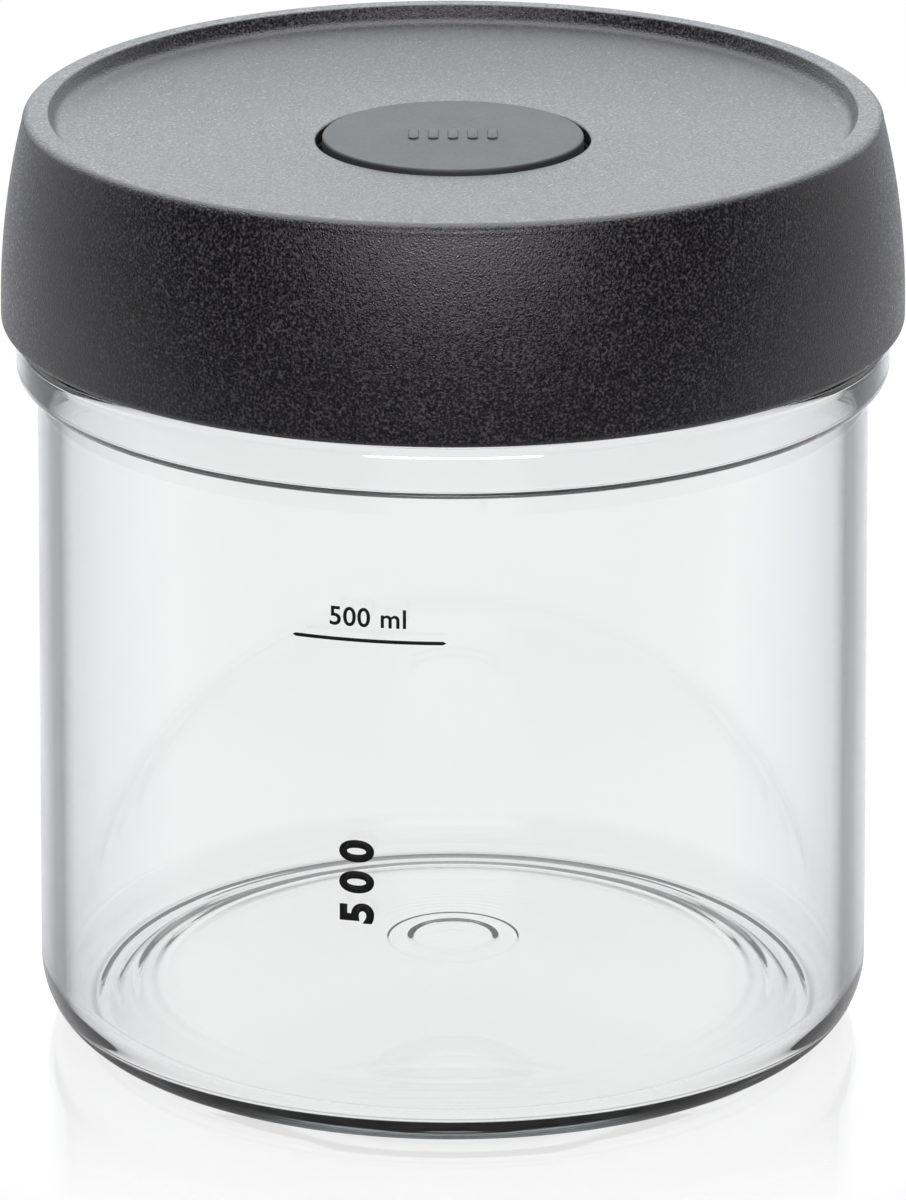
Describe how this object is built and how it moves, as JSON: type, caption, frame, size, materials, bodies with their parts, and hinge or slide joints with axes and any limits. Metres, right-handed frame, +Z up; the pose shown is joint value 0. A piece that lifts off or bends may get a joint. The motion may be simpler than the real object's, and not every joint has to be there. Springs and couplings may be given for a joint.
{
  "type": "fermentation jar",
  "caption": "Clear glass fermentation jar with a black screw lid; a push button in its sunken top opens a sprung gas valve, and a soft flap lets gas out by itself.",
  "frame": {"origin": "centre of the jar's foot, on the table", "axes": "+Z up along the jar's axis; the front with the fill mark faces -Y"},
  "size_m": [0.1152, 0.1152, 0.1211],
  "materials": {
    "glass": "clear, polished",
    "lid_black": "fine matt grain",
    "liner_plastic": "smooth moulded",
    "stem_plastic": "smooth moulded",
    "seal_silicone": "matt translucent silicone",
    "button_silicone": "matt silicone",
    "steel": "drawn wire"
  },
  "bodies": {
    "jar": {"jar_glass": "glass"},
    "seal": {"sealing_ring": "seal_silicone"},
    "lid": {"lid_cover": "lid_black", "lid_liner": "liner_plastic", "valve_housing": "liner_plastic", "vent_membrane": "seal_silicone", "valve_spring": "steel"},
    "valve": {"valve_button": "button_silicone", "valve_stem": "stem_plastic", "valve_poppet": "stem_plastic", "poppet_seal": "seal_silicone", "stem_clip": "steel"}
  },
  "joints": [
    {"name": "lid_rise", "type": "slide", "parent": "jar", "child": "seal", "axis": [0, 0, 1], "range_m": [0, 0.036]},
    {"name": "lid_turn", "type": "hinge", "parent": "seal", "child": "lid", "pos_m": [0, 0, 0.0939], "axis": [0, 0, 1], "range_deg": [0, 360]},
    {"name": "valve_press", "type": "slide", "parent": "lid", "child": "valve", "axis": [0, 0, -1], "range_m": [0, 0.0015], "stiffness_N_per_m": 600, "springref_m": -0.001, "deforming": ["valve_spring"]}
  ],
  "couplings": [
    {"joint": "lid_rise", "follows": "lid_turn", "m_per_rad": 0.0057296}
  ]
}
